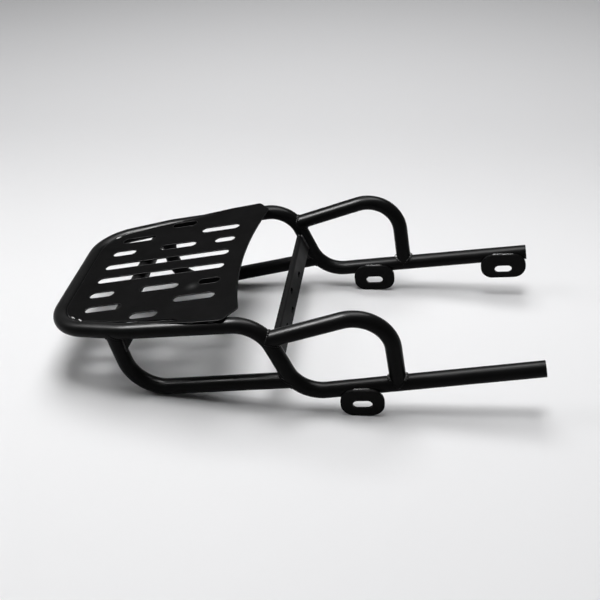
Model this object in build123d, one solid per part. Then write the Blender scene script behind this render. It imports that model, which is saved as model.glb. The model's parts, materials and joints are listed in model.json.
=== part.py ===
# Motorcycle luggage rack: a welded frame of bent steel tube with a slotted deck and three slotted brackets.
# Millimetres. The rack is drawn with its rails along X, then tipped onto the floor as it comes to rest.
# +X points to the front of the motorcycle, +Y to its left, +Z up.
import math
import os

from build123d import *

# Tube stock, and the fit-up gap between a trimmed piece and the tube that it is welded to
TUBE_OD = 22.0
TUBE_WALL = 2.0
BEND_R = 50.0
FIT_UP = 0.1

# Main tube, left half: rail, two bends of the rise, hoop side and rear corner
RAIL_FRONT = (320.0, 152.5, 0.0)
LOWER_BEND = (0.0, 162.5, 0.0)
HOOP_Z = 113.5
UPPER_BEND = (-33.0, 162.5, HOOP_Z)
HOOP_SIDE = (-220.0, 150.0, HOOP_Z)
HOOP_SIDE_R = 120.0
HOOP_CORNER = (-330.0, 124.0, HOOP_Z)
HOOP_CORNER_R = 60.0

# Grab handle, left: height of its start on the rise, its top corner, and its foot on the rail
HANDLE_START_Z = 88.0
HANDLE_TOP = (134.0, 165.0, 120.0)
HANDLE_FOOT_X = 132.0

# Support leg, left: height of its start on the rise, its knee, and its top under the hoop at the cross tube
LEG_START_Z = 21.5
LEG_KNEE = (-231.5, 139.0, 12.4)
LEG_TOP_X = -237.0

# Deck sheet: where it lies on the hoop, its fall to the rear, and the wings of its outline as (x, half width)
DECK_T = 1.5
DECK_TOUCH_X = -120.0
DECK_FALL = 1.8
DECK_FRONT_X = -76.5
DECK_WING = [(-60.0, 142.0), (-78.0, 167.5), (-130.0, 163.0)]
DECK_CORNER_R = 8.0
# Behind its wings the deck fits inside the hoop: stations along it, and the gap that the weld fills
DECK_INSIDE = [-146.0, -200.0, -240.0, -284.0]
DECK_GAP = 0.4

# Deck slots as half-width row: x ranges
SLOT_W = 14.5
SLOT_ROWS = {
    19.5: [(-294.0, -102.5)],
    60.0: [(-293.5, -257.0), (-217.5, -161.0), (-131.5, -100.5)],
    99.0: [(-288.0, -235.0), (-159.5, -100.5)],
    130.0: [(-214.0, -174.5)],
}

# Folded cross plate between the two rises, with its slots as (y, distance below the top)
FOLD_T = 4.0
FOLD_TOP_Z = 72.0
FOLD_FACE = 27.0
FOLD_LIP = 8.0
FOLD_SLOT_L = 15.0
FOLD_SLOT_W = 5.0
FOLD_SLOTS = [(4.0, 8.5), (37.5, 20.5), (-55.0, 16.5), (85.0, 16.5)]

# Slotted brackets on the right-hand face of each rail: place, length, height and middle height
REAR_LEFT = (84.0, 63.0, 42.0, -15.5)
REAR_RIGHT = (84.0, 58.0, 40.0, -16.5)
FRONT_LEFT = (285.0, 68.0, 39.0, -14.0)
BRACKET_T = 4.0
BRACKET_R = 18.0
BRACKET_TURN = 4.5
BRACKET_SLOT_Z = -19.0
BRACKET_SLOT_L = 26.0
BRACKET_SLOT_W = 12.5

# Gussets in front of the legs, under the hoop
GUSSET_L = 19.0
GUSSET_H = 23.5
GUSSET_T = 4.0

# Rounds of tipping towards the rest pose: each leaves about a tenth of the error
TIP_STEPS = 8

TUBE_R = TUBE_OD / 2


def rod(points, radii, radius):
    # Straight cylinders joined by ring segments that touch them
    corners = [Vector(*p) for p in points]
    runs = []
    start = corners[0]
    for before, corner, after, bend in zip(corners, corners[1:], corners[2:], radii):
        travel = (corner - before).normalized()
        leaving = (after - corner).normalized()
        turn = travel.get_angle(leaving)
        half = math.radians(turn) / 2
        first = corner - travel * (bend * math.tan(half))
        centre = corner + (leaving - travel).normalized() * (bend / math.cos(half))
        section = Plane(origin=first, z_dir=travel) * Circle(radius)
        runs.append(straight(start, first, radius))
        runs.append(revolve(section, Axis(centre, travel.cross(leaving)), turn))
        start = corner + leaving * (bend * math.tan(half))
    runs.append(straight(start, corners[-1], radius))
    return runs[0].fuse(*runs[1:]) if len(runs) > 1 else runs[0]


def straight(start, end, radius):
    return extrude(Plane(origin=start, z_dir=end - start) * Circle(radius), (end - start).length)


def tube(points, radii):
    # A rod that trims other pieces with the fit-up gap, and the hollow tube
    hollow = rod(points, radii, TUBE_R) - rod(points, radii, TUBE_R - TUBE_WALL)
    return rod(points, radii, TUBE_R + FIT_UP), hollow


def both_sides(name, left):
    return {f"{name}_left": left, f"{name}_right": mirror(left, Plane.XZ)}


def rail_y(x):
    # Centre line of the left rail
    return LOWER_BEND[1] + (RAIL_FRONT[1] - LOWER_BEND[1]) * x / RAIL_FRONT[0]


def rise_x(z):
    # Centre line of the rise, with its two bends
    lean = math.atan2(HOOP_Z, LOWER_BEND[0] - UPPER_BEND[0])
    setback = BEND_R * math.tan(lean / 2)
    bend_z = BEND_R * (1 - math.cos(lean))
    if z < bend_z:
        return LOWER_BEND[0] + setback - math.sqrt(BEND_R**2 - (BEND_R - z) ** 2)
    if z > HOOP_Z - bend_z:
        return UPPER_BEND[0] - setback + math.sqrt(BEND_R**2 - (BEND_R - HOOP_Z + z) ** 2)
    return LOWER_BEND[0] + (UPPER_BEND[0] - LOWER_BEND[0]) * z / HOOP_Z


def hoop_y(x):
    # Centre line of the hoop's left side, before and behind its gentle bend
    front, rear = (UPPER_BEND, HOOP_SIDE) if x > HOOP_SIDE[0] else (HOOP_SIDE, HOOP_CORNER)
    return front[1] + (rear[1] - front[1]) * (x - front[0]) / (rear[0] - front[0])


def deck_z(x):
    # Underside of the deck, which falls to the rear from where it lies on the hoop
    return HOOP_Z + TUBE_R + (x - DECK_TOUCH_X) * math.tan(math.radians(DECK_FALL))


def deck_inset(x):
    # From the hoop's centre line to the deck's edge: half the tube's chord at that height, and the gap
    return math.sqrt(TUBE_R**2 - (deck_z(x) - HOOP_Z) ** 2) + DECK_GAP


# Main tube: one length bent from the left rail round the hoop to the right rail
left_half = [RAIL_FRONT, LOWER_BEND, UPPER_BEND, HOOP_SIDE, HOOP_CORNER]
half_radii = [BEND_R, BEND_R, HOOP_SIDE_R, HOOP_CORNER_R]
main_points = left_half + [(x, -y, z) for x, y, z in reversed(left_half)]
main_rod, main_tube = tube(main_points, half_radii + half_radii[::-1])

# Grab handle, coped to the rise and the rail
handle_start = (rise_x(HANDLE_START_Z), LOWER_BEND[1], HANDLE_START_Z)
handle_foot = (HANDLE_FOOT_X, rail_y(HANDLE_FOOT_X), 0)
handle = tube([handle_start, HANDLE_TOP, handle_foot], [BEND_R])[1] - main_rod

# Support leg, coped to the rise and the hoop
leg_start = (rise_x(LEG_START_Z), LOWER_BEND[1], LEG_START_Z)
leg_top = (LEG_TOP_X, hoop_y(LEG_TOP_X), HOOP_Z)
leg_rod, leg_tube = tube([leg_start, LEG_KNEE, leg_top], [BEND_R])
leg = leg_tube - main_rod

# Cross tube under the deck, coped to the hoop and to the tops of the legs
cross_z = deck_z(LEG_TOP_X) - (TUBE_R + FIT_UP) / math.cos(math.radians(DECK_FALL))
half_span = hoop_y(LEG_TOP_X) - TUBE_R / 2
across = [(LEG_TOP_X, -half_span, cross_z), (LEG_TOP_X, half_span, cross_z)]
cross_tube = tube(across, [])[1] - main_rod - leg_rod - mirror(leg_rod, Plane.XZ)

# Deck sheet: wings over the hoop's sides, then an edge that follows the inside of the hoop
inside = [(x, hoop_y(x) - deck_inset(x)) for x in DECK_INSIDE]
rear_x = HOOP_CORNER[0] + deck_inset(HOOP_CORNER[0])
narrowing = (inside[-2][1] - inside[-1][1]) / (inside[-2][0] - inside[-1][0])
rear_corner = (rear_x, inside[-1][1] + (rear_x - inside[-1][0]) * narrowing)
side_points = DECK_WING + inside[:-1] + [rear_corner]
side_points += [(x, -y) for x, y in reversed(side_points)]
outline = Polyline(*side_points) + ThreePointArc(side_points[-1], (DECK_FRONT_X, 0), side_points[0])
deck = make_face(outline)
deck = fillet(deck.vertices().sort_by(Axis.X)[2:], DECK_CORNER_R)
deck = fillet(deck.vertices().sort_by(Axis.X)[:2], HOOP_CORNER_R - deck_inset(rear_x))

# Rows of slots, then the sheet is laid down with its fall and relieved over the hoop
for row, ranges in SLOT_ROWS.items():
    for x0, x1 in ranges:
        for y in (row, -row):
            deck -= Pos((x0 + x1) / 2, y) * SlotOverall(x1 - x0, SLOT_W)
sheet = Pos(-DECK_TOUCH_X, 0, 0) * extrude(deck, DECK_T)
deck_plate = Pos(DECK_TOUCH_X, 0, HOOP_Z + TUBE_R) * Rot(0, -DECK_FALL, 0) * sheet - main_rod

# Cross plate: a face along the rise with a lip folded back along its upper edge
rise_angle = math.degrees(math.atan2(HOOP_Z, LOWER_BEND[0] - UPPER_BEND[0]))
fold = make_face(Polyline((0, 0), (0, -FOLD_FACE), (-FOLD_T, -FOLD_FACE), (-FOLD_T, -FOLD_T),
                          (-FOLD_LIP, -FOLD_T), (-FOLD_LIP, 0), (0, 0)))
outer_bend = fold.vertices().sort_by(Axis.X)[-2:].sort_by(Axis.Y)[-1]
fold = fillet(outer_bend, FOLD_T)
plate = extrude(fold, LOWER_BEND[1], both=True)
for y, down in FOLD_SLOTS:
    cutter = extrude(SlotOverall(FOLD_SLOT_L, FOLD_SLOT_W), FOLD_T * 2, both=True)
    plate -= Pos(0, -down, y) * Rot(0, 90, 0) * cutter
plate = Pos(rise_x(FOLD_TOP_Z), 0, FOLD_TOP_Z) * Rot(0, rise_angle - 90, 0) * Rot(90, 0, 0) * plate
cross_plate = plate - main_rod


# Brackets: each stands on the right-hand face of its rail
def bracket(rail_side, x, length, height, middle):
    blank = Pos(0, middle) * RectangleRounded(length, height, BRACKET_R)
    blank -= Pos(0, BRACKET_SLOT_Z) * SlotOverall(BRACKET_SLOT_L, BRACKET_SLOT_W)
    face = rail_side * rail_y(x) - TUBE_R
    return Pos(x, face, 0) * Rot(0, BRACKET_TURN, 0) * Rot(90, 0, 0) * extrude(blank, BRACKET_T) - main_rod


brackets = {
    "bracket_rear_left": bracket(1, *REAR_LEFT),
    "bracket_rear_right": bracket(-1, *REAR_RIGHT),
    "bracket_front_left": bracket(1, *FRONT_LEFT),
}

# Gusset, trimmed to the hoop and the leg
gusset_top = HOOP_Z - TUBE_R
gusset_front = LEG_TOP_X + TUBE_R + GUSSET_L
triangle = make_face(Polyline((LEG_TOP_X, HOOP_Z), (gusset_front, HOOP_Z), (gusset_front, gusset_top),
                              (LEG_TOP_X + TUBE_R, gusset_top - GUSSET_H), (LEG_TOP_X, gusset_top - GUSSET_H),
                              (LEG_TOP_X, HOOP_Z)))
gusset = Pos(0, leg_top[1], 0) * Rot(90, 0, 0) * extrude(triangle, GUSSET_T / 2, both=True)
gusset = gusset - main_rod - leg_rod

pieces = {
    "main_tube": main_tube,
    "cross_tube": cross_tube,
    "deck_plate": deck_plate,
    "cross_plate": cross_plate,
    **both_sides("grab_handle", handle),
    **both_sides("support_leg", leg),
    **both_sides("gusset", gusset),
    **brackets,
}

# Tip the rack until its knees and its rear brackets stand on the floor together
reach = REAR_LEFT[0] - LEG_KNEE[0]
tilt = 0.0
for _ in range(TIP_STEPS):
    turned = [Rot(0, -tilt, 0) * pieces[node] for node in ("support_leg_left", "bracket_rear_left")]
    knee, bracket_edge = (piece.bounding_box().min.Z for piece in turned)
    tilt += math.degrees(math.atan((knee - bracket_edge) / reach))

# Set it down and centre it on the origin
tipped = {node: Rot(0, -tilt, 0) * piece for node, piece in pieces.items()}
box = Compound(children=[Compound(piece.solids()) for piece in tipped.values()]).bounding_box()
place = Pos(-box.center().X, 0, -box.min.Z)

os.makedirs("parts", exist_ok=True)
for node, piece in tipped.items():
    export_step(place * piece, f"parts/{node}.step")
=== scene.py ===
"""Finish and studio for a motorcycle luggage rack.

The rack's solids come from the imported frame. This script gives them their black powder coat, lays the weld
beads and the rounded coat along the sheet's edges, and sets the floor, the lamps and the camera.
"""
import json
import math

import bpy
import numpy as np
from bpy.props import FloatProperty, FloatVectorProperty, PointerProperty
from mathutils import Matrix, Vector


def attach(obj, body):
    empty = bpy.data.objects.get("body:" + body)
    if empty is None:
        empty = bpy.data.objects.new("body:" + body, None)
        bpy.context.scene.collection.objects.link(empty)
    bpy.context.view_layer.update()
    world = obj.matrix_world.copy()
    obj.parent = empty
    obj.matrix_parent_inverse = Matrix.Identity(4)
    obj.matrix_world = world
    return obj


bl_info = {
    "name": "Luggage Rack Finish",
    "version": (1, 0, 0),
    "blender": (4, 5, 0),
    "location": "View3D > Sidebar > Rack",
    "description": "Powder coat, weld beads, sheet edges and studio for a tubular luggage rack",
    "category": "Object",
}

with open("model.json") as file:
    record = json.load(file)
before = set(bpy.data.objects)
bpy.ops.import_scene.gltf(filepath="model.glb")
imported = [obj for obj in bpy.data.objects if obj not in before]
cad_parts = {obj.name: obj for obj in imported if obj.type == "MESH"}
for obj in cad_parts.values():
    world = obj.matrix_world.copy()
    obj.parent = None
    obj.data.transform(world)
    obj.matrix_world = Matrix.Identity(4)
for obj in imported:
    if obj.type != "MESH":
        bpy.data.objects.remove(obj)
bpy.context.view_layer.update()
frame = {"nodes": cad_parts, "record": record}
DECK_MOUNT = {mount["name"]: mount for mount in frame["record"]["mounts"]}["luggage_deck"]

# The rack's own layout in metres, with its rails along X and the lower bend at the origin
TUBE_R = 0.011
BEND_R = 0.050
RAIL_FRONT = (0.320, 0.1525, 0.0)
LOWER_BEND = (0.0, 0.1625, 0.0)
HOOP_Z = 0.1135
UPPER_BEND = (-0.033, 0.1625, HOOP_Z)
HOOP_SIDE = (-0.220, 0.150, HOOP_Z)
HOOP_SIDE_R = 0.120
HOOP_CORNER = (-0.330, 0.124, HOOP_Z)
HOOP_CORNER_R = 0.060
HANDLE_START = (-0.0269, 0.1625, 0.088)
HANDLE_TOP = (0.134, 0.165, 0.120)
HANDLE_FOOT = (0.132, 0.1584, 0.0)
LEG_START = (-0.0036, 0.1625, 0.0215)
LEG_KNEE = (-0.2315, 0.139, 0.0124)
LEG_TOP = (-0.237, 0.1460, HOOP_Z)
CROSS_TUBE_END = (-0.237, 0.1405, 0.1097)

# Deck sheet: where it lies on the hoop, its fall to the rear and its outline as (x, half width)
SHEET_T = 0.0015
DECK_TOUCH_X = -0.120
DECK_FALL = math.radians(1.8)
DECK_FRONT_X = -0.0765
DECK_WING = [(-0.060, 0.142), (-0.078, 0.1675)]
DECK_INSIDE_X = [-0.200, -0.240, -0.284]
DECK_GAP = 0.0004
DECK_CORNER_R = 0.008

# Tail that draws each wing out along the hoop, and how far its faces lie within the deck's
WING_TAIL = [(-0.122, 0.1560), (-0.124, 0.1635), (-0.190, 0.1520), (-0.190, 0.1515)]
TAIL_SINK = 0.0001

# Rows of slots as half spacing: their ends along x
SLOT_W = 0.0145
SLOT_ROWS = {
    0.0195: [(-0.294, -0.1025)],
    0.0600: [(-0.2935, -0.257), (-0.2175, -0.161), (-0.1315, -0.1005)],
    0.0990: [(-0.288, -0.235), (-0.1595, -0.1005)],
    0.1300: [(-0.214, -0.1745)],
}

# Brackets as side, place along the rail, length, height and middle height
BRACKETS = {
    "bracket_rear_left": (1, 0.084, 0.063, 0.042, -0.0155),
    "bracket_rear_right": (-1, 0.084, 0.058, 0.040, -0.0165),
    "bracket_front_left": (1, 0.285, 0.068, 0.039, -0.0140),
}
BRACKET_R = 0.018
BRACKET_TURN = math.radians(4.5)

# Gussets, and the cross plate's heights on the rises
GUSSET_L = 0.019
GUSSET_H = 0.0235
GUSSET_T = 0.004
FOLD_TOP_Z = 0.072
FOLD_FOOT_Z = 0.046
FOLD_T = 0.004

# Tacks: by the deck's rear corner as x, y to x, y, under its wing along x, and at the handles' feet
DECK_TACKS = [(-0.3045, 0.1125, -0.2970, 0.1180), (-0.2905, 0.1225, -0.2840, 0.1262)]
WING_TACKS = [(-0.088, -0.098), (-0.116, -0.126)]
WING_TACK_OUT = 0.004
FOOT_TACK_REACH = 0.008

# Beads: how far the ripples bow back, the slow drifts of the radius as share, waves and start, and the
# least distance from an open end at which the radius is taken, as a share of the bead's width
RIPPLE_BOW = 1.1
BEAD_DRIFTS = [(0.10, 3, 0.7), (0.06, 5, 2.1)]
BLUNT_END = 0.02

# Half the length of the sum of two walls' normals where they meet at a right angle
CORNER_FLUSH = math.sqrt(0.5)

# How finely lines and rings are divided
SPACING = 0.001
COPE_STEPS = 96
COPE_HALVINGS = 20
GUSSET_STEPS = 24
FRONT_STEPS = 160
SLOT_STEPS = 72
POOL_STEPS = 6
BEAD_SIDES = 12
RIM_SIDES = 8
FLOOR_CELLS = 12

# The deck mount fixes where the layout lies in the frame: its place along the deck, and its turn
DECK_MOUNT_X = -0.180
TILT = math.atan2(-DECK_MOUNT["axis"][0], DECK_MOUNT["axis"][2]) - DECK_FALL

# Noise in the finishes as scale, detail and roughness, and the middle of its range that is used
COAT_CLOUDS = (14, 4, 0.5)
COAT_DUST = (55, 5, 0.65)
COAT_DULLNESS = (38, 3, 0.5)
PAPER_CLOUDS = (1.5, 2, 0.5)
NOISE_MIDDLE = (0.3, 0.7)

# Coat: swing of its roughness, height and detail of its orange peel, and a pale spot on the deck
ROUGHNESS_SWING = 0.04
PEEL_HEIGHT = 0.0002
PEEL_DETAIL = 2
PALE_SPOT = (-0.139, -0.070, SHEET_T)
SPOT_STRENGTH = 0.35

# Studio paper
PAPER_ROUGHNESS = 0.85
PAPER_GLOSS = 0.1
PAPER_SHADE = 0.985

# Lamps as centre and sides; the two strips show in the gloss alone
LAMPS = {
    "key": ((0.09, -0.20, 3.0), (1.2, 0.8)),
    "broad": ((-0.10, 0.95, 2.3), (1.4, 1.4)),
    "side": ((-3.0, 0.0, 2.5), (1.8, 1.8)),
    "hoop_glint": ((-0.66, -0.12, 1.1), (0.7, 0.3)),
    "rail_glint": ((0.15, 0.25, 1.1), (0.8, 0.3)),
}
STRIPS = ("hoop_glint", "rail_glint")
SENSOR_MM = 36.0

TUBES = ("main_tube", "grab_handle_left", "grab_handle_right", "support_leg_left", "support_leg_right",
         "cross_tube")
PLATES = ("cross_plate", *BRACKETS, "gusset_left", "gusset_right")


def unit(vectors):
    """Vectors divided by their lengths."""
    vectors = np.asarray(vectors, float)
    return vectors / np.linalg.norm(vectors, axis=-1, keepdims=True)


def mirrored(points):
    """The right-hand side of left-hand layout points: y changes sign."""
    return np.asarray(points, float) * [1, -1, 1]


def turned(points, angle):
    """Points turned about Y so that +X rises by the angle."""
    c, s = math.cos(angle), math.sin(angle)
    return np.asarray(points, float) @ np.array([[c, 0, -s], [0, 1, 0], [s, 0, c]]).T


def to_frame(points):
    """Layout points turned by the rest tilt about Y, then shifted to put the deck mount in its place."""
    deck_point = (DECK_MOUNT_X, 0.0, deck_z(DECK_MOUNT_X) + SHEET_T / math.cos(DECK_FALL))
    return turned(np.subtract(points, deck_point), TILT) + np.array(DECK_MOUNT["pos_m"])


def on_deck(points):
    """Layout points from deck points, turned by the deck's fall about the line where it lies on the hoop.

    A deck point is x and y on the flat sheet and a height above its underside.
    """
    laid = turned(np.subtract(points, (DECK_TOUCH_X, 0, 0)), DECK_FALL)
    return laid + (DECK_TOUCH_X, 0, HOOP_Z + TUBE_R)


def deck_z(x):
    """Height of the deck's underside."""
    return HOOP_Z + TUBE_R + (x - DECK_TOUCH_X) * math.tan(DECK_FALL)


def deck_inset(x):
    """From the hoop's centre line to the deck's edge: half the tube's chord at that height, and the gap."""
    return math.sqrt(TUBE_R**2 - (deck_z(x) - HOOP_Z) ** 2) + DECK_GAP


def hoop_y(x):
    """Centre line of the hoop's left side, before and behind its gentle bend."""
    front, rear = (UPPER_BEND, HOOP_SIDE) if x > HOOP_SIDE[0] else (HOOP_SIDE, HOOP_CORNER)
    return front[1] + (rear[1] - front[1]) * (x - front[0]) / (rear[0] - front[0])


def rail_y(x):
    """Centre line of the left rail."""
    return LOWER_BEND[1] + (RAIL_FRONT[1] - LOWER_BEND[1]) * x / RAIL_FRONT[0]


def rise_x(z):
    """Centre line of the straight part of the rise."""
    return LOWER_BEND[0] + (UPPER_BEND[0] - LOWER_BEND[0]) * z / HOOP_Z


def run(start, end):
    """Evenly spaced points from start to end."""
    start, end = np.asarray(start, float), np.asarray(end, float)
    steps = max(2, int(np.linalg.norm(end - start) / SPACING) + 1)
    return start + np.linspace(0, 1, steps)[:, None] * (end - start)


def bent_line(corners, radii):
    """Straight runs joined by arcs that touch them: each arc is centre + cos(a) spoke + sin(a) R travel."""
    corners = np.asarray(corners, float)
    line = []
    here = corners[0]
    for before, corner, after, radius in zip(corners, corners[1:], corners[2:], radii):
        travel, leaving = unit(corner - before), unit(after - corner)
        turn = math.acos(np.clip(travel @ leaving, -1, 1))
        setback = radius * math.tan(turn / 2)
        first = corner - travel * setback
        centre = corner + unit(leaving - travel) * radius / math.cos(turn / 2)
        angle = np.linspace(0, turn, max(4, int(radius * turn / SPACING)))[:, None]
        arc = centre + np.cos(angle) * (first - centre) + np.sin(angle) * radius * travel
        line += [run(here, first), arc]
        here = corner + leaving * setback
    line.append(run(here, corners[-1]))
    line = np.vstack(line)
    fresh = np.r_[True, np.linalg.norm(np.diff(line, axis=0), axis=1) > 1e-7]
    return line[fresh]


def travelled(line):
    """Distance along a line at each of its points."""
    return np.r_[0, np.cumsum(np.linalg.norm(np.diff(line, axis=0), axis=1))]


def evenly(line, values, count, closed):
    """Values at a line's points, taken at count evenly spaced places along it by linear interpolation."""
    length = travelled(line)
    places = np.linspace(0, length[-1], count, endpoint=not closed)
    return np.column_stack([np.interp(places, length, values[:, k]) for k in range(3)])


def surface_object(name, grid, closed_along, smooth=True):
    """Mesh of a grid of points whose rows are rings: quads between rows, and a flat cap on each open end."""
    rows, ring = grid.shape[:2]
    row = np.arange(rows if closed_along else rows - 1)[:, None]
    column = np.arange(ring)[None]
    after, beside = (row + 1) % rows, (column + 1) % ring
    corners = (row * ring + column, row * ring + beside, after * ring + beside, after * ring + column)
    faces = np.stack(corners, axis=-1).reshape(-1, 4).tolist()
    if not closed_along:
        faces += [list(range(ring))[::-1], list(range((rows - 1) * ring, rows * ring))]
    mesh = bpy.data.meshes.new(name)
    mesh.from_pydata(grid.reshape(-1, 3).tolist(), [], faces)
    mesh.polygons.foreach_set("use_smooth", np.full(len(mesh.polygons), smooth))
    mesh.update()
    piece = bpy.data.objects.new(name, mesh)
    bpy.context.collection.objects.link(piece)
    return piece


def join_pieces(name, pieces):
    """One object from several, with their meshes side by side."""
    with bpy.context.temp_override(active_object=pieces[0], selected_editable_objects=pieces):
        bpy.ops.object.join()
    pieces[0].name = name
    pieces[0].data.name = name
    return pieces[0]


# Weld beads

def nearest(points, line):
    """The place on a centre line that is nearest to each point, and the distance."""
    gaps = np.linalg.norm(points[:, None] - line[None], axis=2)
    return line[gaps.argmin(axis=1)], gaps.min(axis=1)


def cope_seam(start, toward, hosts):
    """Where a tube end meets its host tubes: points on its wall, one tube radius from a host's centre line.

    Each point slides out along the tube's axis until it leaves the last host, found by halving three radii.
    Returns the seam, the direction between the two walls' normals, and how nearly the walls are flush there.
    """
    start = np.array(start)
    axis = unit(np.subtract(toward, start))
    no_tube_way = (0.3, 1.0, 0.2)
    across = unit(np.cross(axis, no_tube_way))
    angle = np.linspace(0, 2 * np.pi, COPE_STEPS, endpoint=False)[:, None]
    spoke = np.cos(angle) * across + np.sin(angle) * np.cross(axis, across)
    near, far = np.zeros((COPE_STEPS, 1)), np.full((COPE_STEPS, 1), 3 * TUBE_R)
    for _ in range(COPE_HALVINGS):
        middle = (near + far) / 2
        wall = start + TUBE_R * spoke + middle * axis
        inside = np.min([nearest(wall, host)[1] for host in hosts], axis=0)[:, None] < TUBE_R
        near, far = np.where(inside, middle, near), np.where(inside, far, middle)
    seam = start + TUBE_R * spoke + far * axis
    found = [nearest(seam, host) for host in hosts]
    pick = np.argmin([gap for _, gap in found], axis=0)
    centre = np.stack([place for place, _ in found])[pick, np.arange(COPE_STEPS)]
    both = spoke + unit(seam - centre)
    flush = np.linalg.norm(both, axis=1) / 2
    return seam, unit(both), flush


def bead(name, seam, outward, size, pitch, ripple, closed):
    """Weld bead: a ring of radius r carried along the seam, where r rises and falls once for each weld pool.

    r = size (1 + ripple cos(2 pi n s - bow cos t)), so the ripples bow backwards as on a laid bead, and the
    size drifts slowly along the seam. An open bead's radius falls as a quarter ellipse over its ends.
    """
    if closed:
        seam, outward = (np.vstack([points, points[:1]]) for points in (seam, outward))
    length = travelled(seam)[-1]
    pools = max(3, round(length / pitch))
    line = evenly(seam, seam, pools * POOL_STEPS, closed)
    out = unit(evenly(seam, outward, pools * POOL_STEPS, closed))
    ahead = np.roll(line, -1, axis=0) - np.roll(line, 1, axis=0) if closed else np.gradient(line, axis=0)
    side = unit(np.cross(ahead, out))
    place = np.linspace(0, 1, len(line), endpoint=not closed)
    turn = np.linspace(0, 2 * np.pi, BEAD_SIDES, endpoint=False)
    wave = np.cos(2 * np.pi * pools * place[:, None] - RIPPLE_BOW * np.cos(turn)[None])
    drift = 1 + sum(share * np.sin(2 * np.pi * waves * place + first) for share, waves, first in BEAD_DRIFTS)
    if not closed:
        from_end = np.minimum(place, 1 - place) * length / (2 * size)
        drift = drift * np.sqrt(1 - (1 - np.clip(from_end, BLUNT_END, 1)) ** 2)
    radius = size * drift[:, None] * (1 + ripple * wave)
    spokes = np.cos(turn)[None, :, None] * out[:, None] + np.sin(turn)[None, :, None] * side[:, None]
    return surface_object(name, to_frame(line[:, None] + radius[..., None] * spokes), closed)


def left_lines():
    """Centre lines of the main tube and the left leg."""
    half = [RAIL_FRONT, LOWER_BEND, UPPER_BEND, HOOP_SIDE, HOOP_CORNER]
    radii = [BEND_R, BEND_R, HOOP_SIDE_R, HOOP_CORNER_R]
    main_line = bent_line(np.vstack([half, mirrored(half[::-1])]), radii + radii[::-1])
    return main_line, bent_line([LEG_START, LEG_KNEE, LEG_TOP], [BEND_R])


def tube_joints():
    """Name, start and direction point of every coped tube end on the left, with the tubes that it meets."""
    main_line, leg_line = left_lines()
    return [
        ("handle_rise", HANDLE_START, HANDLE_TOP, [main_line]),
        ("handle_foot", HANDLE_FOOT, HANDLE_TOP, [main_line]),
        ("leg_rise", LEG_START, LEG_KNEE, [main_line]),
        ("leg_top", LEG_TOP, LEG_KNEE, [main_line]),
        ("cross_tube", CROSS_TUBE_END, mirrored(CROSS_TUBE_END), [main_line, leg_line]),
    ]


def even_seam(line, out, size):
    """A seam with one outward direction, and its bead's radius."""
    return line, np.broadcast_to(unit(out), line.shape), size


def bracket_seams(side, x, length, height, middle, size):
    """Beads along a bracket's upper edge and behind it, under the rail.

    The bracket hangs on the rail's right-hand face, turned about Y, so a point u along it and w up lies at
    x + u cos t + w sin t and w cos t - u sin t. The upper bead is sunk by a third of its radius and follows
    the rail inwards. The lower one lies half its radius off the face, at the height where the rail's wall is
    a radius off.
    """
    half = length / 2 - BRACKET_R
    face = side * rail_y(x) - TUBE_R
    lean = side * (RAIL_FRONT[1] - LOWER_BEND[1]) / RAIL_FRONT[0]
    top = middle + height / 2 - size / 3
    under = -math.sqrt(TUBE_R**2 - (TUBE_R - size) ** 2)
    c, s = math.cos(BRACKET_TURN), math.sin(BRACKET_TURN)

    def place(u, y, w):
        return x + u * c + w * s, y, w * c - u * s

    upper = run(place(-half, face - lean * half, top), place(half, face + lean * half, top))
    lower = run(place(-half, face + size / 2, under), place(half, face + size / 2, under))
    return [even_seam(upper, (0, -0.5, 1), size), even_seam(lower, (0, 0.5, -1), size)]


def gusset_seams(size):
    """Beads along both faces of the left gusset: under the hoop, and down the front of the leg.

    A face that is y off a tube's middle meets the tube sqrt(R^2 - y^2) from its centre line.
    """
    knee, top = np.array(LEG_KNEE), np.array(LEG_TOP)
    x = np.linspace(LEG_TOP[0] + TUBE_R, LEG_TOP[0] + TUBE_R + GUSSET_L, GUSSET_STEPS)
    z = np.linspace(HOOP_Z - TUBE_R, HOOP_Z - TUBE_R - GUSSET_H, GUSSET_STEPS)
    hoop = np.array([hoop_y(k) for k in x])
    leg = knee + ((z - knee[2]) / (top[2] - knee[2]))[:, None] * (top - knee)
    seams = []
    for face in (-GUSSET_T / 2, GUSSET_T / 2):
        y = np.full(GUSSET_STEPS, LEG_TOP[1] + face)
        hoop_drop = np.sqrt(TUBE_R**2 - (hoop - y) ** 2)
        leg_reach = np.sqrt(TUBE_R**2 - (leg[:, 1] - y) ** 2)
        under_hoop = np.column_stack([x, y, HOOP_Z - hoop_drop])
        down_leg = np.column_stack([leg[:, 0] + leg_reach, y, z])
        seams.append(even_seam(under_hoop, (0, np.sign(face), -1), size))
        seams.append(even_seam(down_leg, (1, np.sign(face), 0), size))
    return seams


def cross_plate_seams(size):
    """Beads down both faces of the cross plate's left end, where it meets the rise."""
    top, foot = (np.array([rise_x(z), LOWER_BEND[1] - TUBE_R, z]) for z in (FOLD_TOP_Z, FOLD_FOOT_Z))
    back = np.array([FOLD_T, 0, 0])
    return [even_seam(run(top, foot), (1, -1, 0), size),
            even_seam(run(top - back, foot - back), (-1, -1, 0), size)]


def deck_tacks(size):
    """Short beads that hold the left side of the deck: two by its rear corner, and two under its wing."""
    seams = []
    for x0, y0, x1, y1 in DECK_TACKS:
        seams.append(even_seam(on_deck(run((x0, y0, SHEET_T), (x1, y1, SHEET_T))), (0, 0, 1), size))
    for ends in WING_TACKS:
        start, end = ((x, hoop_y(x) + WING_TACK_OUT, deck_z(x) - size) for x in ends)
        seams.append(even_seam(run(start, end), (0, 1, -0.3), size))
    return seams


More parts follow.
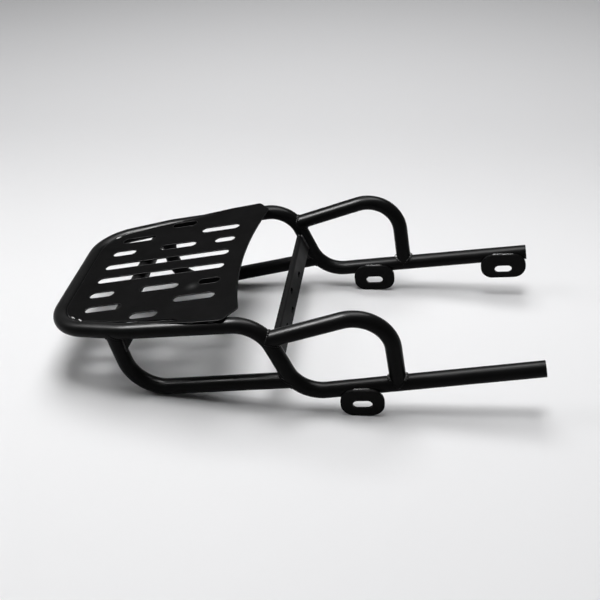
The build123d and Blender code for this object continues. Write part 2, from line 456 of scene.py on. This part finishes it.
def foot_tacks(size):
    """Short beads before and behind the left handle's foot, in the corners that it makes with the rail."""
    main_line, _ = left_lines()
    seam, out, _ = cope_seam(HANDLE_FOOT, HANDLE_TOP, [main_line])
    reach = seam[:, 0] - HANDLE_FOOT[0]
    seams = []
    for corner in (reach > FOOT_TACK_REACH, reach < -FOOT_TACK_REACH):
        order = np.argsort(seam[corner][:, 1])
        seams.append((seam[corner][order], out[corner][order], size))
    return seams


def plate_seams(weld):
    """Name of each group of plate welds, with its seams; the right-hand groups mirror the left."""
    groups = {}
    for name, (side, *sizes) in BRACKETS.items():
        groups[f"weld_{name}"] = bracket_seams(side, *sizes, weld.plate_bead)
    left = {
        "gusset": gusset_seams(weld.gusset_bead),
        "cross_plate": cross_plate_seams(weld.plate_bead),
        "deck": deck_tacks(weld.plate_bead),
        "foot": foot_tacks(weld.foot_bead),
    }
    for name, seams in left.items():
        groups[f"weld_{name}_left"] = seams
        groups[f"weld_{name}_right"] = [(mirrored(line), mirrored(out), size) for line, out, size in seams]
    return groups


# Rounded coat on the sheet's edges

def deck_outline():
    """Closed line round the deck: front arc, left wing, tail and inside edge, and their mirror image.

    The arc passes through both wing tips and the middle of the front, with
    R = (half chord^2 + sagitta^2) / 2 sagitta. It stops short of the tips, where the corner rounds begin.
    """
    tip_x, tip_y = DECK_WING[0]
    sagitta = tip_x - DECK_FRONT_X
    radius = (tip_y**2 + sagitta**2) / (2 * sagitta)
    reach = math.asin(tip_y / radius) - DECK_CORNER_R / radius
    angle = np.linspace(-reach, reach, FRONT_STEPS)
    front = np.column_stack([DECK_FRONT_X + radius * (1 - np.cos(angle)), radius * np.sin(angle), 0 * angle])
    *inside, (last_x, last_y) = [(x, hoop_y(x) - deck_inset(x)) for x in DECK_INSIDE_X]
    rear_x = HOOP_CORNER[0] + deck_inset(HOOP_CORNER[0])
    narrowing = (inside[-1][1] - last_y) / (inside[-1][0] - last_x)
    rear_corner = (rear_x, last_y + (rear_x - last_x) * narrowing)
    corners = [tuple(front[-1][:2]), *DECK_WING, *WING_TAIL[1:3], *inside, rear_corner, (rear_x, 0.0)]
    radii = [DECK_CORNER_R] * (len(corners) - 3) + [HOOP_CORNER_R - deck_inset(rear_x)]
    left = bent_line([(x, y, 0.0) for x, y in corners], radii)
    return np.vstack([front[:-1], left[:-1], mirrored(left[::-1])[:-1]])


def slot_line(x0, x1, y):
    """Round-ended slot: a circle of half the slot's width, pulled apart along X at its two halves."""
    r = SLOT_W / 2
    angle = np.linspace(0, 2 * np.pi, SLOT_STEPS, endpoint=False)
    middle = np.where(np.cos(angle) >= 0, x1 - r, x0 + r)
    return np.column_stack([middle + r * np.cos(angle), y + r * np.sin(angle), 0 * angle])


def deck_edges():
    """Closed lines round the deck and its slots, each with the side that its metal lies on."""
    edges = [(deck_outline(), 1)]
    for row, spans in SLOT_ROWS.items():
        for y in (row, -row):
            edges += [(slot_line(x0, x1, y), -1) for x0, x1 in spans]
    return edges


def edge_rim(name, line, metal_side, radius, sink):
    """Rounded coat on an upper edge: a thin ring carried along it, and sunk until only a round shows.

    With n the sheet's normal and i the way into the metal, a point is
    edge + sink (i - n) + r (cos t n + sin t j). Here j is square to n and to the edge, on the right of it
    all along, so that every ring faces outwards.
    """
    edge = line + (0, 0, SHEET_T)
    ahead = np.roll(edge, -1, axis=0) - np.roll(edge, 1, axis=0)
    normal = np.array([0.0, 0.0, 1.0])
    beside = unit(np.cross(normal, ahead))
    turn = np.linspace(0, 2 * np.pi, RIM_SIDES, endpoint=False)
    ring = np.cos(turn)[None, :, None] * normal - np.sin(turn)[None, :, None] * beside[:, None]
    centre = edge + sink * (metal_side * beside - normal)
    return surface_object(name, to_frame(on_deck(centre[:, None] + radius * ring)), True)


def wing_tail(name, side):
    """Flat sheet that draws a wing out along the hoop, until the tube's crown rises through the deck.

    Its outline is carried from just above the deck's underside to just under its upper face. The side is 1
    for the left wing and -1 for the right, whose outline is listed backwards to run the same way round.
    """
    outline = np.array([(x, side * y, 0.0) for x, y in WING_TAIL])[::side]
    levels = np.array([[0, 0, TAIL_SINK], [0, 0, SHEET_T - TAIL_SINK]])
    return surface_object(name, to_frame(on_deck(outline[None] + levels[:, None])), False, smooth=False)


# Finishes

def new_material(name):
    """An empty node material with its output, and a helper that adds nodes to it."""
    material = bpy.data.materials.new(name)
    material.use_nodes = True
    tree = material.node_tree
    tree.nodes.clear()
    output = tree.nodes.new("ShaderNodeOutputMaterial")

    def add(kind, **settings):
        node = tree.nodes.new(kind)
        for key, value in settings.items():
            setattr(node, key, value)
        return node

    return material, tree, output, add


def noise(tree, add, coordinates, scale, detail, roughness=0.5):
    """A noise texture on the given coordinates."""
    texture = add("ShaderNodeTexNoise")
    texture.inputs["Scale"].default_value = scale
    texture.inputs["Detail"].default_value = detail
    texture.inputs["Roughness"].default_value = roughness
    tree.links.new(coordinates, texture.inputs["Vector"])
    return texture.outputs["Fac"]


def patches(tree, add, coordinates, grain, low, high):
    """Noise of the given grain, with the middle of its range mapped onto low to high."""
    node = add("ShaderNodeMapRange")
    node.inputs["From Min"].default_value, node.inputs["From Max"].default_value = NOISE_MIDDLE
    node.inputs["To Min"].default_value = low
    node.inputs["To Max"].default_value = high
    tree.links.new(noise(tree, add, coordinates, *grain), node.inputs["Value"])
    return node.outputs["Result"]


def blend_colour(tree, add, factor, first, second):
    """Mixes two colours by a factor; first may be a socket or a colour."""
    mix = add("ShaderNodeMix", data_type="RGBA")
    tree.links.new(factor, mix.inputs["Factor"])
    for socket, colour in ((mix.inputs[6], first), (mix.inputs[7], second)):
        if isinstance(colour, bpy.types.NodeSocket):
            tree.links.new(colour, socket)
        else:
            socket.default_value = (*colour, 1)
    return mix.outputs[2]


def powder_coat(name, coat, black, gloss, roughness, spot=None):
    """Black powder coat: orange peel as bump, cloudy colour and gloss, a little dust on what faces up."""
    material, tree, output, add = new_material(name)
    place = add("ShaderNodeTexCoord").outputs["Object"]
    shader = add("ShaderNodeBsdfPrincipled")
    shader.inputs["Specular IOR Level"].default_value = gloss
    tree.links.new(shader.outputs["BSDF"], output.inputs["Surface"])

    clouds = patches(tree, add, place, COAT_CLOUDS, 0, 1)
    colour = blend_colour(tree, add, clouds, black, tuple(c * coat.cloud for c in black))
    facing = add("ShaderNodeSeparateXYZ")
    tree.links.new(add("ShaderNodeNewGeometry").outputs["Normal"], facing.inputs["Vector"])
    settle = add("ShaderNodeMath", operation="MULTIPLY", use_clamp=True)
    tree.links.new(facing.outputs["Z"], settle.inputs[0])
    tree.links.new(patches(tree, add, place, COAT_DUST, 0, coat.dust_amount), settle.inputs[1])
    colour = blend_colour(tree, add, settle.outputs["Value"], colour, coat.dust)
    if spot is not None:
        mask = pale_spot(tree, add, place, spot, coat.spot_radius)
        colour = blend_colour(tree, add, mask, colour, coat.dust)
    tree.links.new(colour, shader.inputs["Base Color"])

    smoothest, roughest = roughness - ROUGHNESS_SWING, roughness + ROUGHNESS_SWING
    dullness = patches(tree, add, place, COAT_DULLNESS, smoothest, roughest)
    tree.links.new(dullness, shader.inputs["Roughness"])

    rounded = add("ShaderNodeBevel", samples=6)
    rounded.inputs["Radius"].default_value = coat.edge_round
    peel = add("ShaderNodeBump")
    peel.inputs["Strength"].default_value = coat.peel
    peel.inputs["Distance"].default_value = PEEL_HEIGHT
    tree.links.new(noise(tree, add, place, coat.peel_scale, PEEL_DETAIL), peel.inputs["Height"])
    tree.links.new(rounded.outputs["Normal"], peel.inputs["Normal"])
    tree.links.new(peel.outputs["Normal"], shader.inputs["Normal"])
    return material


def pale_spot(tree, add, place, spot, radius):
    """Soft round mask about a deck point: strongest at its centre, falling to none at the radius."""
    mapping = add("ShaderNodeMapping")
    centre = to_frame(on_deck([spot]))[0]
    mapping.inputs["Scale"].default_value = (1 / radius,) * 3
    mapping.inputs["Location"].default_value = tuple(-centre / radius)
    tree.links.new(place, mapping.inputs["Vector"])
    fade = add("ShaderNodeTexGradient", gradient_type="QUADRATIC_SPHERE")
    tree.links.new(mapping.outputs["Vector"], fade.inputs["Vector"])
    faint = add("ShaderNodeMath", operation="MULTIPLY")
    faint.inputs[1].default_value = SPOT_STRENGTH
    tree.links.new(fade.outputs["Fac"], faint.inputs[0])
    return faint.outputs["Value"]


def floor_paper(name, colour, far, fade_from, fade_to):
    """Pale studio paper: nearly even, with a faint cloudiness and dull. Towards the back its colour greys:
    painted shade that stands in for the light falling off there.
    """
    material, tree, output, add = new_material(name)
    place = add("ShaderNodeTexCoord").outputs["Object"]
    shader = add("ShaderNodeBsdfPrincipled")
    shader.inputs["Roughness"].default_value = PAPER_ROUGHNESS
    shader.inputs["Specular IOR Level"].default_value = PAPER_GLOSS
    tree.links.new(shader.outputs["BSDF"], output.inputs["Surface"])

    clouds = patches(tree, add, place, PAPER_CLOUDS, 0, 1)
    near = blend_colour(tree, add, clouds, colour, tuple(c * PAPER_SHADE for c in colour))
    # Painted shade: the paper's colour blends to the far colour towards the back, in place of the light
    # falling off there.
    depth = add("ShaderNodeSeparateXYZ")
    tree.links.new(place, depth.inputs["Vector"])
    painted_falloff = add("ShaderNodeMapRange", interpolation_type="SMOOTHSTEP")
    painted_falloff.inputs["From Min"].default_value = fade_from
    painted_falloff.inputs["From Max"].default_value = fade_to
    tree.links.new(depth.outputs["Y"], painted_falloff.inputs["Value"])
    tree.links.new(blend_colour(tree, add, painted_falloff.outputs["Result"], near, far), shader.inputs["Base Color"])
    return material


def finish_piece(piece, material):
    """Gives a new piece its material and fixes it to the rack."""
    piece.data.materials.append(material)
    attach(piece, "root")


# Settings

class RackCoatSettings(bpy.types.PropertyGroup):
    """Colours and texture of the powder coat."""

    tube_black: FloatVectorProperty(
        name="Tube black", description="Colour of the coat on the tubes",
        default=(0.0010, 0.0010, 0.0011), subtype="COLOR")
    sheet_black: FloatVectorProperty(
        name="Sheet black", description="Colour of the coat on the deck",
        default=(0.0040, 0.0040, 0.0041), subtype="COLOR")
    plate_black: FloatVectorProperty(
        name="Plate black", description="Colour of the coat on brackets, gussets, cross plate and welds",
        default=(0.0015, 0.0015, 0.0016), subtype="COLOR")
    cloud: FloatProperty(
        name="Cloud", description="How much paler the coat is where it is cloudy",
        default=1.5, min=1)
    dust: FloatVectorProperty(
        name="Dust", description="Colour of dust and the pale spot",
        default=(0.12, 0.12, 0.12), subtype="COLOR")
    dust_amount: FloatProperty(
        name="Dust amount", description="Most dust on a level surface",
        default=0.012, min=0, max=1)
    tube_gloss: FloatProperty(
        name="Tube gloss", description="Specular level of the coat on tubes and plates",
        default=0.05, min=0, max=1)
    weld_gloss: FloatProperty(
        name="Weld gloss", description="Specular level of the coat on plate welds and tacks",
        default=0.5, min=0, max=1)
    sheet_gloss: FloatProperty(
        name="Sheet gloss", description="Specular level of the coat on the deck",
        default=0.004, min=0, max=1)
    tube_roughness: FloatProperty(
        name="Tube roughness", description="Roughness of the coat on the tubes and welds",
        default=0.32, min=0, max=1)
    sheet_roughness: FloatProperty(
        name="Sheet roughness", description="Roughness of the coat on the deck",
        default=0.60, min=0, max=1)
    plate_roughness: FloatProperty(
        name="Plate roughness", description="Roughness of the coat on brackets, gussets and cross plate",
        default=0.40, min=0, max=1)
    peel: FloatProperty(
        name="Orange peel", description="Strength of the coat's bump",
        default=0.12, min=0, max=1)
    peel_scale: FloatProperty(
        name="Peel scale", description="Bumps in each metre",
        default=900, min=1)
    edge_round: FloatProperty(
        name="Edge round", description="Radius that the coat leaves on an edge",
        default=0.0004, unit="LENGTH")
    spot_radius: FloatProperty(
        name="Pale spot", description="Radius of the faint spot on the deck",
        default=0.014, unit="LENGTH")
    rim_radius: FloatProperty(
        name="Sheet edge", description="Radius of the coat on the deck's edges",
        default=0.00055, unit="LENGTH")
    rim_sink: FloatProperty(
        name="Edge sink", description="How far that round is sunk into the sheet",
        default=0.00030, unit="LENGTH")


class RackWeldSettings(bpy.types.PropertyGroup):
    """Size of the weld beads."""

    tube_bead: FloatProperty(
        name="Tube bead", description="Radius of the beads between tubes",
        default=0.0024, unit="LENGTH")
    flush_sink: FloatProperty(
        name="Flush sink", description="Share of the radius that is sunk where two walls are flush",
        default=0.8)
    plate_bead: FloatProperty(
        name="Plate bead", description="Radius of the beads along plates",
        default=0.0016, unit="LENGTH")
    gusset_bead: FloatProperty(
        name="Gusset bead", description="Radius of the beads along gussets",
        default=0.0012, unit="LENGTH")
    foot_bead: FloatProperty(
        name="Foot bead", description="Radius of the tacks at the handles' feet",
        default=0.0029, unit="LENGTH")
    pool_pitch: FloatProperty(
        name="Pool pitch", description="Distance from one ripple to the next",
        default=0.0024, unit="LENGTH")
    ripple: FloatProperty(
        name="Ripple", description="Share of a tube bead's radius that the ripples take",
        default=0.10, min=0, max=0.5)
    plate_ripple: FloatProperty(
        name="Plate ripple", description="Share of a plate bead's radius that the ripples take",
        default=0.25, min=0, max=0.5)


class RackStageSettings(bpy.types.PropertyGroup):
    """Camera, lamps and floor."""

    camera_place: FloatVectorProperty(
        name="Camera place", description="Where the camera stands",
        default=(0.1604, -1.1576, 0.7977), subtype="TRANSLATION")
    camera_azimuth: FloatProperty(
        name="Azimuth", description="Turn of the view about Z, in degrees",
        default=7.83)
    camera_elevation: FloatProperty(
        name="Elevation", description="How far the camera looks down, in degrees",
        default=32.0)
    camera_roll: FloatProperty(
        name="Roll", description="Turn of the picture, in degrees",
        default=-2.29)
    lens: FloatProperty(
        name="Lens", description="Focal length in millimetres on a 36 mm sensor",
        default=57.0)
    key_power: FloatProperty(
        name="Key power", description="Power of the softbox overhead in watts",
        default=38.0)
    broad_power: FloatProperty(
        name="Broad power", description="Power of the large softbox behind in watts",
        default=35.0)
    side_power: FloatProperty(
        name="Side power", description="Power of the softbox on the left in watts",
        default=24.5)
    hoop_glint_power: FloatProperty(
        name="Hoop glint power", description="Power of the strip that shines on the hoop in watts",
        default=135.0)
    rail_glint_power: FloatProperty(
        name="Rail glint power", description="Power of the strip that shines on the rails in watts",
        default=22.0)
    glint_turn: FloatProperty(
        name="Glint turn", description="Turn of both strips about Z",
        default=math.radians(30), unit="ROTATION")
    fill: FloatProperty(
        name="Fill", description="Strength of the even light around",
        default=0.04, min=0)
    backdrop: FloatProperty(
        name="Backdrop", description="Strength of the light around as it is seen",
        default=0.5, min=0)
    floor_colour: FloatVectorProperty(
        name="Floor", description="Colour of the studio paper",
        default=(0.88, 0.88, 0.89), subtype="COLOR")
    # Painted shade: the paper greys to this colour at the back, in place of the light falling off there.
    floor_painted_shade: FloatVectorProperty(
        name="Far floor", description="Colour of the paper at the back",
        default=(0.68, 0.68, 0.69), subtype="COLOR")
    # Where that painted shade on the paper starts, and where it is full.
    floor_fade_from: FloatProperty(
        name="Fade from", description="Where the paper starts to grey",
        default=0.05, unit="LENGTH")
    floor_fade_to: FloatProperty(
        name="Fade to", description="Where the paper is fully grey",
        default=0.9, unit="LENGTH")
    floor_reach: FloatProperty(
        name="Floor reach", description="Half of the floor's width",
        default=6.0, unit="LENGTH")


# Operators

class RACK_OT_coat(bpy.types.Operator):
    """Give every solid of the rack its powder coat."""

    bl_idname = "rack.coat"
    bl_label = "Powder coat"

    def execute(self, context):
        coat = context.scene.rack_coat
        tube = powder_coat("tube_powder_coat", coat, coat.tube_black, coat.tube_gloss, coat.tube_roughness)
        deck = powder_coat(
            "deck_powder_coat", coat, coat.sheet_black, coat.sheet_gloss, coat.sheet_roughness, PALE_SPOT)
        plate = powder_coat(
            "plate_powder_coat", coat, coat.plate_black, coat.tube_gloss, coat.plate_roughness)
        for nodes, material in ((TUBES, tube), (["deck_plate"], deck), (PLATES, plate)):
            for node in nodes:
                frame["nodes"][node].data.materials.clear()
                frame["nodes"][node].data.materials.append(material)
        return {"FINISHED"}


class RACK_OT_tube_welds(bpy.types.Operator):
    """Lay a rippled bead round every coped tube end, sunk where the two walls are nearly flush."""

    bl_idname = "rack.tube_welds"
    bl_label = "Tube welds"

    def execute(self, context):
        weld = context.scene.rack_weld
        material = bpy.data.materials["tube_powder_coat"]
        for name, start, toward, hosts in tube_joints():
            seam, out, flush = cope_seam(start, toward, hosts)
            sunk = np.interp(flush, (CORNER_FLUSH, 1), (0, weld.flush_sink))[:, None]
            seam = seam - sunk * weld.tube_bead * out
            for side, flip in (("left", np.asarray), ("right", mirrored)):
                piece = bead(f"weld_{name}_{side}", flip(seam), flip(out), weld.tube_bead, weld.pool_pitch,
                             weld.ripple, True)
                finish_piece(piece, material)
        return {"FINISHED"}


class RACK_OT_plate_welds(bpy.types.Operator):
    """Lay the beads of brackets, gussets and cross plate, and the tacks of the deck and the handles."""

    bl_idname = "rack.plate_welds"
    bl_label = "Plate welds"

    def execute(self, context):
        coat, weld = context.scene.rack_coat, context.scene.rack_weld
        material = powder_coat(
            "weld_powder_coat", coat, coat.plate_black, coat.weld_gloss, coat.tube_roughness)
        for name, seams in plate_seams(weld).items():
            beads = [bead(f"{name}_{k}", line, out, size, weld.pool_pitch, weld.plate_ripple, False)
                     for k, (line, out, size) in enumerate(seams)]
            finish_piece(join_pieces(name, beads), material)
        return {"FINISHED"}


class RACK_OT_sheet_edges(bpy.types.Operator):
    """Round the coat along the deck's outline and slots, and draw out its wings."""

    bl_idname = "rack.sheet_edges"
    bl_label = "Sheet edges"

    def execute(self, context):
        coat = context.scene.rack_coat
        rims = [edge_rim(f"rim_{k}", line, metal_side, coat.rim_radius, coat.rim_sink)
                for k, (line, metal_side) in enumerate(deck_edges())]
        edges = join_pieces("deck_edge_coat", rims)
        finish_piece(edges, bpy.data.materials["plate_powder_coat"])
        for name, side in (("wing_tail_left", 1), ("wing_tail_right", -1)):
            finish_piece(wing_tail(name, side), bpy.data.materials["deck_powder_coat"])
        return {"FINISHED"}


class RACK_OT_stage(bpy.types.Operator):
    """Set the floor, the lamps, the even light around and the camera."""

    bl_idname = "rack.stage"
    bl_label = "Studio"

    def execute(self, context):
        stage = context.scene.rack_stage
        self.lay_floor(stage)
        for name in LAMPS:
            lamp = self.hang_lamp(name, getattr(stage, f"{name}_power"))
            if name in STRIPS:
                lamp.rotation_euler = (0, 0, stage.glint_turn)
                lamp.visible_diffuse = False
        self.set_world(context.scene, stage)
        self.set_camera(context.scene, stage)
        context.scene.view_settings.view_transform = "Standard"
        return {"FINISHED"}

    def lay_floor(self, stage):
        """A level sheet of paper, as a grid of x and y."""
        marks = np.linspace(-stage.floor_reach, stage.floor_reach, FLOOR_CELLS + 1)
        x, y = np.meshgrid(marks, marks, indexing="ij")
        points = np.stack([x, y, np.zeros_like(x)], axis=-1).reshape(-1, 3)
        corner = np.arange(FLOOR_CELLS)[:, None] * len(marks) + np.arange(FLOOR_CELLS)[None]
        across = corner + len(marks)
        faces = np.stack([corner, across, across + 1, corner + 1], axis=-1).reshape(-1, 4)
        mesh = bpy.data.meshes.new("floor")
        mesh.from_pydata(points.tolist(), [], faces.tolist())
        floor = bpy.data.objects.new("floor", mesh)
        bpy.context.collection.objects.link(floor)
        # The paper greys to painted shade at the back.
        floor.data.materials.append(floor_paper(
            "floor_paper", stage.floor_colour, stage.floor_painted_shade, stage.floor_fade_from, stage.floor_fade_to))

    def hang_lamp(self, name, power):
        """A softbox that faces the rack."""
        place, sides = LAMPS[name]
        lamp = bpy.data.lights.new(name, "AREA")
        lamp.shape = "RECTANGLE"
        lamp.size, lamp.size_y = sides
        lamp.energy = power
        holder = bpy.data.objects.new(name, lamp)
        holder.location = place
        holder.rotation_euler = (-Vector(place)).to_track_quat("-Z", "Y").to_euler()
        bpy.context.collection.objects.link(holder)
        return holder

    def set_world(self, scene, stage):
        """A faint even light around the stage, which is seen as a pale backdrop and mirrored as one."""
        scene.world = bpy.data.worlds.new("studio")
        scene.world.use_nodes = True
        tree = scene.world.node_tree
        path = tree.nodes.new("ShaderNodeLightPath")
        seen = path.outputs["Is Camera Ray"]
        for ray in ("Is Glossy Ray", "Is Transmission Ray"):
            either = tree.nodes.new("ShaderNodeMath")
            either.operation = "MAXIMUM"
            tree.links.new(seen, either.inputs[0])
            tree.links.new(path.outputs[ray], either.inputs[1])
            seen = either.outputs["Value"]
        strength = tree.nodes.new("ShaderNodeMapRange")
        strength.inputs["To Min"].default_value = stage.fill
        strength.inputs["To Max"].default_value = stage.backdrop
        tree.links.new(seen, strength.inputs["Value"])
        background = tree.nodes["Background"]
        background.inputs["Color"].default_value = (1.0, 1.0, 1.0, 1.0)
        tree.links.new(strength.outputs["Result"], background.inputs["Strength"])

    def set_camera(self, scene, stage):
        """Camera axes from azimuth, elevation and roll: back points out of the view, and right is rolled."""
        turns = (stage.camera_azimuth, stage.camera_elevation, stage.camera_roll)
        a, e, r = (math.radians(turn) for turn in turns)
        back = np.array([math.sin(a) * math.cos(e), -math.cos(a) * math.cos(e), math.sin(e)])
        level = np.array([math.cos(a), math.sin(a), 0.0])
        right = level * math.cos(r) + np.cross(back, level) * math.sin(r)
        axes = np.eye(4)
        axes[:3, :4] = np.column_stack([right, np.cross(back, right), back, stage.camera_place])
        camera = bpy.data.cameras.new("camera")
        camera.lens = stage.lens
        camera.sensor_width = SENSOR_MM
        holder = bpy.data.objects.new("camera", camera)
        holder.matrix_world = Matrix(axes.tolist())
        bpy.context.collection.objects.link(holder)
        scene.camera = holder


class RACK_PT_finish(bpy.types.Panel):
    """Sidebar panel with the rack's pieces and their settings."""

    bl_label = "Luggage rack"
    bl_idname = "RACK_PT_finish"
    bl_space_type = "VIEW_3D"
    bl_region_type = "UI"
    bl_category = "Rack"

    def draw(self, context):
        for operator in OPERATORS:
            self.layout.operator(operator.bl_idname)
        for settings in SETTINGS:
            group = getattr(context.scene, settings)
            for key in group.bl_rna.properties.keys():
                if key not in ("rna_type", "name"):
                    self.layout.prop(group, key)


OPERATORS = (RACK_OT_coat, RACK_OT_tube_welds, RACK_OT_plate_welds, RACK_OT_sheet_edges, RACK_OT_stage)
SETTINGS = {"rack_coat": RackCoatSettings, "rack_weld": RackWeldSettings, "rack_stage": RackStageSettings}


def register():
    """Registers the settings, the operators and the panel."""
    for settings, group in SETTINGS.items():
        bpy.utils.register_class(group)
        setattr(bpy.types.Scene, settings, PointerProperty(type=group))
    for operator in (*OPERATORS, RACK_PT_finish):
        bpy.utils.register_class(operator)


def unregister():
    """Takes out what register put in."""
    for operator in (*OPERATORS, RACK_PT_finish):
        bpy.utils.unregister_class(operator)
    for settings, group in SETTINGS.items():
        delattr(bpy.types.Scene, settings)
        bpy.utils.unregister_class(group)


def main():
    """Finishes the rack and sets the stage."""
    register()
    bpy.ops.rack.coat()
    bpy.ops.rack.tube_welds()
    bpy.ops.rack.plate_welds()
    bpy.ops.rack.sheet_edges()
    bpy.ops.rack.stage()


if __name__ == "__main__":
    main()
